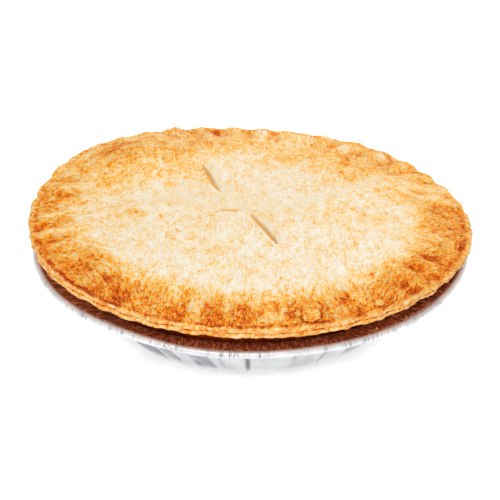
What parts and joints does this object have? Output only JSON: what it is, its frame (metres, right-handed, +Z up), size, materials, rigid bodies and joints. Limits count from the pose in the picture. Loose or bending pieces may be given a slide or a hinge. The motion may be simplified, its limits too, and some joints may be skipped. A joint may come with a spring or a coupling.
{
  "type": "apple pie",
  "caption": "Whole round apple pie with a closed golden crust, crimped edge and cut steam vents, standing in its shallow foil pan.",
  "frame": {"origin": "on the surface the pan stands on, under the middle of the pan's base", "axes": "+Z up through the lid, +X towards the pie's right side, -Y towards its front"},
  "size_m": [0.2284, 0.2284, 0.0614],
  "materials": {
    "crust": "baked shortcrust pastry, cream in the middle, golden to brown at the edge, dry with a faint fat sheen",
    "foil": "thin bright pressed foil with soft pleats and a rolled bead"
  },
  "bodies": {
    "root": {"pie": "crust", "foil_pan": "foil"}
  },
  "joints": []
}
